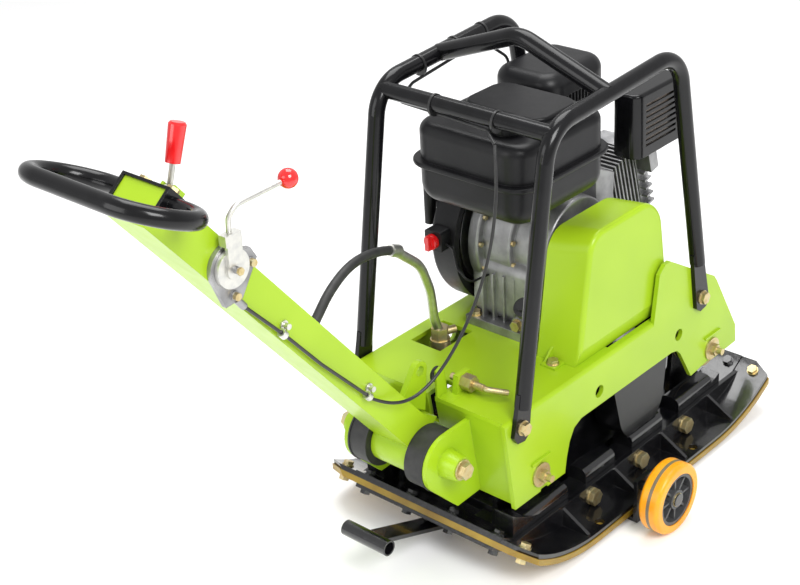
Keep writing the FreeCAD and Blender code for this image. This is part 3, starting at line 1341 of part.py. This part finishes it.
# ---------------------------------------------------------------- assembly
def build():
    n = {}
    n["paving_pad"] = [paving_pad()]
    n["pad_clamps"] = [cut_all(s, pad_bolts()) for s in pad_strips()] + pad_bolts()
    n["base_plate"] = [base_plate()]
    n["side_wings"] = [wing(1), wing(-1)]
    n["wing_bolts"] = wing_bolts()
    n["exciter_housing"] = [exciter_housing()]
    n["exciter_bearings"] = exciter_bearings()
    n["exciter_covers"] = exciter_covers()
    n["exciter_shaft_driven"] = [exciter_shaft(EXC_X1, BELT_Y - 11.0), exciter_pulley()]
    n["exciter_shaft_second"] = [exciter_shaft(EXC_X2, -83.0)]
    n["lower_belt_cover"] = [lower_belt_cover()]
    n["shock_rubbers"] = shock_mounts()
    n["shock_studs"] = shock_plates()
    n["upper_frame"] = [upper_frame()]
    n["hinge_bolts"] = hinge_bolts()
    n["hinge_bushes"] = hinge_bushes() + hinge_discs()
    n["cage_hoop_left"] = [cage_hoop(1)]
    n["cage_hoop_right"] = [cage_hoop(-1)]
    n["cage_bars"] = cage_bars()
    n["frame_bolts"] = cage_bolts() + engine_bolts() + case_screws() + guard_bolts() + exciter_bolts()
    n["frame_bolts"].append(drain_plug())
    n["engine_block"] = [engine_block()]
    n["cylinder_head"] = [cylinder_head(), spark_plug()]
    n["fan_housing"] = [fan_housing(), recoil_cover()]
    n["starter_grip"] = starter_grip()
    n["fuel_tank"] = [fuel_tank()]
    n["fuel_cap"] = [fuel_cap()]
    n["air_cleaner"] = [air_cleaner()]
    n["carburettor"] = [carburettor()]
    n["muffler"] = [muffler()]
    n["muffler_shield"] = [muffler_shield()]
    n["switch_box"] = [switch_box()]
    n["stop_knob"] = [stop_knob()]
    n["oil_dipstick"] = [oil_dipstick()]
    n["crankshaft"] = [crankshaft(), flywheel()]
    n["clutch_pulley"] = [clutch_pulley()]
    n["v_belt"] = [v_belt()]
    n["belt_guard"] = [belt_guard()]
    n["handle_beam"] = [handle_beam()]
    n["stop_bump"] = [stop_bump()]
    n["loop_handle"] = [loop_handle()]
    n["handle_screws"] = collar_bolts() + throttle_screws()
    n["direction_lever"] = [direction_lever()]
    n["direction_grip"] = [direction_grip()]
    n["throttle_body"] = [throttle_body()]
    n["throttle_lever"] = [throttle_lever()]
    n["throttle_ball"] = [throttle_ball()]
    n["beam_cable"] = cable_clips() + [beam_cable()]
    n["lock_pin"] = [lock_pin()]
    n["lock_pin_body"] = [lock_pin_body()]
    n["hydraulic_hose"] = [cord("hydraulic_hose", HOSE_POINTS, 7.5)]
    n["hydraulic_pipe"] = [hydraulic_pipe()]
    n["pipe_fitting"] = [pipe_fitting()]
    n["lower_hose"] = [lower_hose()]
    n["throttle_cable"] = [cord("throttle_cable", CABLE_POINTS, 2.6)]
    n["engine_cable"] = [engine_cable()] + [t.cut(engine_cable()) for t in cable_ties()]
    n["trolley_frame"] = [trolley_frame()] + axle_clips()
    for s, side in ((1, "left"), (-1, "right")):
        n["wheel_tyre_" + side] = [wheel_tyre(s)]
        n["wheel_hub_" + side] = [wheel_hub(s), wheel_bush(s)]
    return n


def seat(n, host, inserts):
    """Cuts the seats of the inserts out of the host's solids."""
    for name in inserts:
        for tool in n[name]:
            n[host] = [h.cut(tool) if h.BoundBox.intersect(tool.BoundBox) else h for h in n[host]]


def fit_together(n):
    seat(n, "base_plate", ["pad_clamps", "shock_studs", "frame_bolts"])
    seat(n, "base_plate", ["exciter_housing", "exciter_covers"])
    seat(n, "paving_pad", ["pad_clamps"])
    seat(n, "side_wings", ["pad_clamps"])
    seat(n, "exciter_housing", ["frame_bolts", "lower_hose"])
    seat(n, "upper_frame", ["frame_bolts", "shock_studs"])
    seat(n, "fan_housing", ["fuel_tank", "switch_box"])
    seat(n, "engine_block", ["frame_bolts", "switch_box", "carburettor", "cylinder_head"])
    seat(n, "cylinder_head", ["muffler"])
    seat(n, "muffler", ["muffler_shield"])
    seat(n, "handle_beam", ["handle_screws"])
    seat(n, "loop_handle", ["handle_screws"])
    seat(n, "throttle_body", ["handle_screws"])
    seat(n, "engine_cable", ["throttle_cable"])


def main():
    os.makedirs("parts", exist_ok=True)
    nodes = build()
    fit_together(nodes)
    for name, shapes in nodes.items():
        solids = []
        for s in shapes:
            solids += solids_of(s)
        shape = solids[0] if len(solids) == 1 else Part.makeCompound(solids)
        shape.exportStep("parts/" + name + ".step")
        print(name, len(solids), round(shape.Volume / 1000.0, 1), shape.isValid())


main()
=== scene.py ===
"""Looks of the reversible plate compactor: materials, the two free lines, a pale studio."""
import json
import math

import bpy
from mathutils import Matrix, Vector


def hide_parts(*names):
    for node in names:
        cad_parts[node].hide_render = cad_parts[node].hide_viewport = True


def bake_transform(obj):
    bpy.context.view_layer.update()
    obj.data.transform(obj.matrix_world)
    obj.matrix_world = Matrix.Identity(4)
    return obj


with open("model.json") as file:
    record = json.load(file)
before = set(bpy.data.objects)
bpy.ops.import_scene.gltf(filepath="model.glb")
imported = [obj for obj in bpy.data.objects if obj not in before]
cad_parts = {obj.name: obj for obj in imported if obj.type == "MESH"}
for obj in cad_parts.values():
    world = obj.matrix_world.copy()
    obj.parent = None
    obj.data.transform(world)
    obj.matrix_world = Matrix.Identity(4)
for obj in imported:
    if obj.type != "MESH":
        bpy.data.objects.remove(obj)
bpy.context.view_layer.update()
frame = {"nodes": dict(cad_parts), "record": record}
NODES = frame["nodes"]

TYRE_MIDDLE = 0.284          # wheels' middle planes are this far from the machine's
HOSE_DIAMETER = 0.015
CABLE_DIAMETER = 0.0052
EDGE_ROUNDING = 0.0012       # painted edges catch light over this radius

CAMERA_PLACE = (-1.9868, -1.5179, 1.6552)
CAMERA_RIGHT = (0.6647, -0.7452, -0.0534)
CAMERA_UP = (0.3803, 0.2759, 0.8827)
LENS_MM = 74.5
SENSOR_MM = 36.0

AMBIENT = 0.72
# name, place, what it points at, size, watts
LIGHTS = (("key", (-1.2, -2.6, 3.0), (0.0, 0.0, 0.3), (1.6, 1.6), 115.0),
          ("fill", (-3.2, 0.6, 1.6), (0.0, 0.0, 0.4), (2.0, 2.0), 35.0),
          ("top", (0.6, 0.6, 3.2), (0.0, 0.0, 0.3), (2.0, 2.0), 72.0))


# ---------------------------------------------------------------- node helpers
class Tree:
    """A material's node tree with short calls for the nodes used here."""

    def __init__(self, name):
        self.material = bpy.data.materials.new(name)
        self.material.use_nodes = True
        self.tree = self.material.node_tree
        self.tree.nodes.clear()
        self.shader = self.add("ShaderNodeBsdfPrincipled")
        out = self.add("ShaderNodeOutputMaterial")
        self.join(self.shader.outputs["BSDF"], out.inputs["Surface"])
        self.place = self.add("ShaderNodeTexCoord").outputs["Object"]

    def add(self, kind):
        return self.tree.nodes.new(kind)

    def join(self, a, b):
        self.tree.links.new(a, b)

    def set(self, **values):
        for key, value in values.items():
            self.shader.inputs[key.replace("_", " ")].default_value = value

    def noise(self, scale, detail=3.0, stretch=None):
        node = self.add("ShaderNodeTexNoise")
        node.inputs["Scale"].default_value = scale
        node.inputs["Detail"].default_value = detail
        source = self.place
        if stretch:
            mapping = self.add("ShaderNodeMapping")
            mapping.inputs["Scale"].default_value = stretch
            self.join(source, mapping.inputs["Vector"])
            source = mapping.outputs["Vector"]
        self.join(source, node.inputs["Vector"])
        return node.outputs["Fac"]

    def cells(self, scale):
        node = self.add("ShaderNodeTexVoronoi")
        node.inputs["Scale"].default_value = scale
        self.join(self.place, node.inputs["Vector"])
        return node.outputs["Distance"]

    def ramp(self, fac, stops):
        node = self.add("ShaderNodeValToRGB")
        elements = node.color_ramp.elements
        while len(elements) < len(stops):
            elements.new(0.5)
        for element, (at, colour) in zip(elements, stops):
            element.position = at
            element.color = (*colour, 1.0)
        self.join(fac, node.inputs["Fac"])
        return node.outputs["Color"]

    def range(self, fac, low, high):
        node = self.add("ShaderNodeMapRange")
        node.inputs["To Min"].default_value = low
        node.inputs["To Max"].default_value = high
        self.join(fac, node.inputs["Value"])
        return node.outputs["Result"]

    def mix(self, fac, a, b):
        node = self.add("ShaderNodeMix")
        node.data_type = "RGBA"
        self.join(fac, node.inputs[0])
        for source, socket in ((a, node.inputs[6]), (b, node.inputs[7])):
            if isinstance(source, tuple):
                socket.default_value = (*source, 1.0)
            else:
                self.join(source, socket)
        return node.outputs[2]

    def colour(self, source):
        self.join(source, self.shader.inputs["Base Color"])

    def rough(self, fac, low, high):
        self.join(self.range(fac, low, high), self.shader.inputs["Roughness"])

    def bump(self, height, strength, distance, rounding=0.0):
        node = self.add("ShaderNodeBump")
        node.inputs["Strength"].default_value = strength
        node.inputs["Distance"].default_value = distance
        self.join(height, node.inputs["Height"])
        if rounding:
            edge = self.add("ShaderNodeBevel")
            edge.samples = 4
            edge.inputs["Radius"].default_value = rounding
            self.join(edge.outputs["Normal"], node.inputs["Normal"])
        self.join(node.outputs["Normal"], self.shader.inputs["Normal"])


# ---------------------------------------------------------------- materials
def lime_paint():
    t = Tree("lime_paint")
    broad = t.noise(7.0, 2.0)
    t.colour(t.ramp(broad, [(0.3, (0.30, 0.47, 0.010)), (0.7, (0.34, 0.52, 0.014))]))
    t.rough(t.noise(40.0), 0.26, 0.38)
    t.set(Coat_Weight=0.12, Coat_Roughness=0.12, Specular_IOR_Level=0.32)
    t.bump(t.noise(420.0, 2.0), 0.10, 0.0004, EDGE_ROUNDING)
    return t.material


def black_gloss():
    t = Tree("black_gloss")
    t.colour(t.ramp(t.noise(25.0), [(0.35, (0.003, 0.003, 0.004)), (0.75, (0.009, 0.009, 0.010))]))
    t.rough(t.noise(60.0, 4.0), 0.12, 0.30)
    t.set(Coat_Weight=0.6, Coat_Roughness=0.06)
    t.bump(t.noise(55.0, 5.0), 0.35, 0.0016, 0.002)
    return t.material


def black_satin():
    t = Tree("black_satin")
    t.colour(t.ramp(t.noise(30.0), [(0.3, (0.0025, 0.0025, 0.003)), (0.7, (0.005, 0.005, 0.006))]))
    t.rough(t.noise(90.0, 3.0), 0.16, 0.26)
    t.set(Coat_Weight=0.15, Coat_Roughness=0.06, Specular_IOR_Level=0.24)
    t.bump(t.noise(500.0, 2.0), 0.12, 0.0003, EDGE_ROUNDING)
    return t.material


def zinc_yellow():
    t = Tree("zinc_yellow")
    t.colour(t.ramp(t.noise(110.0, 3.0), [(0.25, (0.46, 0.35, 0.16)), (0.5, (0.60, 0.49, 0.26)),
                                          (0.75, (0.47, 0.45, 0.28))]))
    t.rough(t.noise(240.0, 2.0), 0.34, 0.46)
    t.set(Metallic=0.9)
    t.bump(t.noise(900.0, 2.0), 0.08, 0.0002, 0.0007)
    return t.material


def zinc_steel():
    t = Tree("zinc_steel")
    t.colour(t.ramp(t.noise(90.0), [(0.3, (0.56, 0.56, 0.54)), (0.7, (0.70, 0.69, 0.64))]))
    t.rough(t.noise(260.0, 3.0), 0.34, 0.46)
    t.set(Metallic=1.0)
    t.bump(t.noise(700.0, 2.0), 0.03, 0.0002, 0.0006)
    return t.material


def cast_alloy():
    t = Tree("cast_alloy")
    t.colour(t.ramp(t.noise(35.0, 4.0), [(0.3, (0.24, 0.24, 0.245)), (0.7, (0.40, 0.40, 0.405))]))
    t.rough(t.noise(150.0, 3.0), 0.34, 0.52)
    t.set(Metallic=0.85)
    t.bump(t.noise(650.0, 4.0), 0.35, 0.0005, 0.002)
    return t.material


def turned_steel():
    t = Tree("turned_steel")
    rings = t.noise(600.0, 2.0, (0.02, 1.0, 0.02))
    t.colour(t.ramp(rings, [(0.3, (0.40, 0.40, 0.41)), (0.7, (0.54, 0.54, 0.55))]))
    t.rough(rings, 0.25, 0.40)
    t.set(Metallic=1.0)
    t.bump(rings, 0.15, 0.0002, 0.0006)
    return t.material


def scorched_steel():
    t = Tree("scorched_steel")
    t.colour(t.ramp(t.noise(18.0), [(0.3, (0.16, 0.12, 0.09)), (0.7, (0.34, 0.30, 0.27))]))
    t.rough(t.noise(120.0), 0.35, 0.55)
    t.set(Metallic=1.0)
    t.bump(t.noise(400.0), 0.15, 0.0003, 0.001)
    return t.material


def black_plastic():
    t = Tree("black_plastic")
    t.colour(t.ramp(t.noise(12.0), [(0.3, (0.005, 0.005, 0.006)), (0.7, (0.010, 0.010, 0.011))]))
    t.rough(t.noise(70.0, 3.0), 0.30, 0.42)
    t.set(Specular_IOR_Level=0.24)
    t.bump(t.cells(1300.0), 0.22, 0.0002, 0.0015)
    return t.material


def red_plastic():
    t = Tree("red_plastic")
    t.colour(t.ramp(t.noise(40.0), [(0.3, (0.60, 0.006, 0.008)), (0.7, (0.72, 0.014, 0.014))]))
    t.rough(t.noise(120.0), 0.10, 0.20)
    t.set(Coat_Weight=0.5, Coat_Roughness=0.05)
    t.bump(t.noise(300.0), 0.05, 0.0002, 0.0006)
    return t.material


def dark_rubber():
    t = Tree("dark_rubber")
    t.colour(t.ramp(t.noise(60.0, 4.0), [(0.3, (0.010, 0.010, 0.010)), (0.7, (0.022, 0.022, 0.021))]))
    t.rough(t.noise(160.0, 3.0), 0.46, 0.64)
    t.bump(t.noise(900.0, 3.0), 0.20, 0.0003, 0.0012)
    return t.material


def cable_jacket():
    t = Tree("cable_jacket")
    t.colour(t.ramp(t.noise(80.0), [(0.3, (0.010, 0.010, 0.011)), (0.7, (0.018, 0.018, 0.018))]))
    t.rough(t.noise(300.0), 0.30, 0.42)
    t.bump(t.noise(1200.0), 0.10, 0.0002)
    return t.material


def amber(name, low, high, rough):
    t = Tree(name)
    t.colour(t.ramp(t.noise(22.0, 3.0), [(0.3, low), (0.7, high)]))
    t.rough(t.noise(90.0), rough, rough + 0.14)
    t.set(Subsurface_Weight=0.35, Subsurface_Scale=0.006, Subsurface_Radius=(1.0, 0.45, 0.08))
    t.bump(t.noise(260.0, 3.0), 0.10, 0.0004, 0.0015)
    return t


def amber_pad():
    return amber("amber_pad", (0.22, 0.13, 0.010), (0.34, 0.22, 0.018), 0.28).material


def amber_tyre():
    """Cast tyre with the mould's grey parting band round its middle."""
    t = amber("amber_tyre", (0.80, 0.29, 0.004), (0.90, 0.38, 0.008), 0.24)
    plain = t.shader.inputs["Base Color"].links[0].from_socket
    split = t.add("ShaderNodeSeparateXYZ")
    t.join(t.place, split.inputs["Vector"])
    side = t.add("ShaderNodeMath")
    side.operation = "ABSOLUTE"
    t.join(split.outputs["Y"], side.inputs[0])
    band = t.add("ShaderNodeMath")
    band.operation = "COMPARE"
    band.inputs[1].default_value = TYRE_MIDDLE
    band.inputs[2].default_value = 0.003
    t.join(side.outputs[0], band.inputs[0])
    t.colour(t.mix(band.outputs[0], plain, (0.16, 0.13, 0.09)))
    return t.material


def grey_hub():
    t = Tree("grey_hub")
    t.colour(t.ramp(t.noise(50.0), [(0.3, (0.045, 0.046, 0.048)), (0.7, (0.075, 0.076, 0.078))]))
    t.rough(t.noise(140.0), 0.36, 0.50)
    t.bump(t.noise(800.0), 0.12, 0.0002, 0.0008)
    return t.material


MAKERS = {f.__name__: f for f in (
    lime_paint, black_gloss, black_satin, zinc_yellow, zinc_steel, cast_alloy, turned_steel, scorched_steel,
    black_plastic, red_plastic, dark_rubber, cable_jacket, amber_pad, amber_tyre, grey_hub)}


def islands(mesh):
    """Groups of polygon numbers, one per separate solid of the mesh."""
    parent = list(range(len(mesh.vertices)))

    def root(v):
        while parent[v] != v:
            parent[v] = parent[parent[v]]
            v = parent[v]
        return v

    places = {}
    for v in mesh.vertices:
        key = tuple(round(c, 5) for c in v.co)
        parent[v.index] = places.setdefault(key, v.index)
    for polygon in mesh.polygons:
        first = root(polygon.vertices[0])
        for v in polygon.vertices[1:]:
            parent[root(v)] = first
    groups = {}
    for polygon in mesh.polygons:
        groups.setdefault(root(polygon.vertices[0]), []).append(polygon.index)
    return groups.values()


def paint_solids(node, material, wanted):
    """Gives the solids whose (x, y, z) extents satisfy wanted a second material."""
    mesh = NODES[node].data
    mesh.materials.append(material)
    for group in islands(mesh):
        spots = [mesh.vertices[v].co for p in group for v in mesh.polygons[p].vertices]
        extent = [max(c[k] for c in spots) - min(c[k] for c in spots) for k in range(3)]
        if wanted(*extent):
            for p in group:
                mesh.polygons[p].material_index = 1


def paint_nodes():
    """Gives each CAD node the material of its slot in the record, then the few that hold two kinds."""
    made = {name: make() for name, make in MAKERS.items()}
    for row in frame["record"]["subparts"]:
        mesh = NODES[row["node"]].data
        mesh.materials.clear()
        mesh.materials.append(made[row["material_slot"]])
    paint_solids("pad_clamps", made["black_gloss"], lambda x, y, z: y > 0.2)
    paint_solids("hinge_bushes", made["zinc_steel"], lambda x, y, z: y < 0.004)
    paint_solids("beam_cable", made["zinc_steel"], lambda x, y, z: z < 0.05)
    paint_solids("cylinder_head", made["black_plastic"], lambda x, y, z: y < 0.03)
    paint_solids("trolley_frame", made["zinc_steel"], lambda x, y, z: y < 0.003)
    for side in ("left", "right"):
        paint_solids("wheel_hub_" + side, made["zinc_yellow"], lambda x, y, z: z < 0.03)
    return made


# ---------------------------------------------------------------- free lines
HOSE_ROUTE = [(-0.566, 0.013, 0.490), (-0.541, 0.017, 0.508), (-0.494, 0.032, 0.532), (-0.430, 0.046, 0.547),
              (-0.354, 0.060, 0.532), (-0.318, 0.069, 0.514)]
CABLE_ROUTE = [(-0.5041, -0.0482, 0.3799), (-0.474, -0.052, 0.356), (-0.430, -0.060, 0.345),
               (-0.388, -0.068, 0.362), (-0.350, -0.076, 0.397), (-0.318, -0.084, 0.444),
               (-0.295, -0.092, 0.496), (-0.280, -0.098, 0.550), (-0.270, -0.101, 0.605),
               (-0.261, -0.098, 0.658), (-0.246, -0.084, 0.703)]


def route_curve(name, route, radius):
    """Smooth curve along the route, as a tube where radius is above zero."""
    data = bpy.data.curves.new(name, "CURVE")
    data.dimensions = "3D"
    data.bevel_depth = radius
    data.bevel_resolution = 8
    data.resolution_u = 10
    data.use_fill_caps = radius > 0
    spline = data.splines.new("NURBS")
    spline.points.add(len(route) - 1)
    for point, place in zip(spline.points, route):
        point.co = (*place, 1.0)
    spline.order_u = 3
    spline.use_endpoint_u = True
    return bpy.data.objects.new(name, data)


def as_mesh(curve_object):
    """The curve's mesh, with the curve itself removed."""
    mesh = bpy.data.meshes.new_from_object(curve_object)
    bpy.data.objects.remove(curve_object)
    return mesh


def free_line(name, route, diameter, material):
    """A smooth tube along the route, shown in place of the hidden CAD part."""
    line = as_mesh(route_curve(name + "_line", route, 0.0))
    mesh = as_mesh(route_curve(name + "_tube", route, diameter / 2))
    mesh.shade_smooth()
    mesh.materials.clear()
    mesh.materials.append(material)
    tube = bpy.data.objects.new(name + "_soft", mesh)
    bpy.context.scene.collection.objects.link(tube)
    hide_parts(name)
    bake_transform(tube)
    return tube


# ---------------------------------------------------------------- studio
def camera():
    """Behind and to the right of the machine, looking down at it."""
    right, up = Vector(CAMERA_RIGHT), Vector(CAMERA_UP)
    back = right.cross(up)
    data = bpy.data.cameras.new("camera")
    data.sensor_width = SENSOR_MM
    data.lens = LENS_MM
    obj = bpy.data.objects.new("camera", data)
    turn = Matrix((right, up, back)).transposed()
    obj.matrix_world = Matrix.Translation(CAMERA_PLACE) @ turn.to_4x4()
    bpy.context.scene.collection.objects.link(obj)
    bpy.context.scene.camera = obj


def area_light(name, place, aim, size, watts):
    """Rectangular light at place, turned towards aim."""
    data = bpy.data.lights.new(name, "AREA")
    data.shape = "RECTANGLE"
    data.size, data.size_y = size
    data.energy = watts
    obj = bpy.data.objects.new(name, data)
    obj.location = place
    obj.rotation_euler = (Vector(aim) - Vector(place)).to_track_quat("-Z", "Y").to_euler()
    bpy.context.scene.collection.objects.link(obj)


def studio():
    """Pale floor, even surroundings and three soft lights."""
    t = Tree("pale_floor")
    t.colour(t.ramp(t.noise(3.0), [(0.3, (0.93, 0.93, 0.93)), (0.7, (0.95, 0.95, 0.95))]))
    t.rough(t.noise(5.0), 0.5, 0.6)
    bpy.ops.mesh.primitive_plane_add(size=60.0, location=(0.0, 0.0, -0.0005))
    floor = bpy.context.object
    floor.name = "floor"
    floor.data.materials.append(t.material)
    world = bpy.data.worlds.new("studio")
    bpy.context.scene.world = world
    world.use_nodes = True
    background = world.node_tree.nodes["Background"]
    background.inputs["Color"].default_value = (1.0, 1.0, 1.0, 1.0)
    background.inputs["Strength"].default_value = AMBIENT
    for light in LIGHTS:
        area_light(*light)
    bpy.context.scene.view_settings.view_transform = "Standard"


camera()
MATERIALS = paint_nodes()
free_line("hydraulic_hose", HOSE_ROUTE, HOSE_DIAMETER, MATERIALS["dark_rubber"])
free_line("throttle_cable", CABLE_ROUTE, CABLE_DIAMETER, MATERIALS["cable_jacket"])
studio()
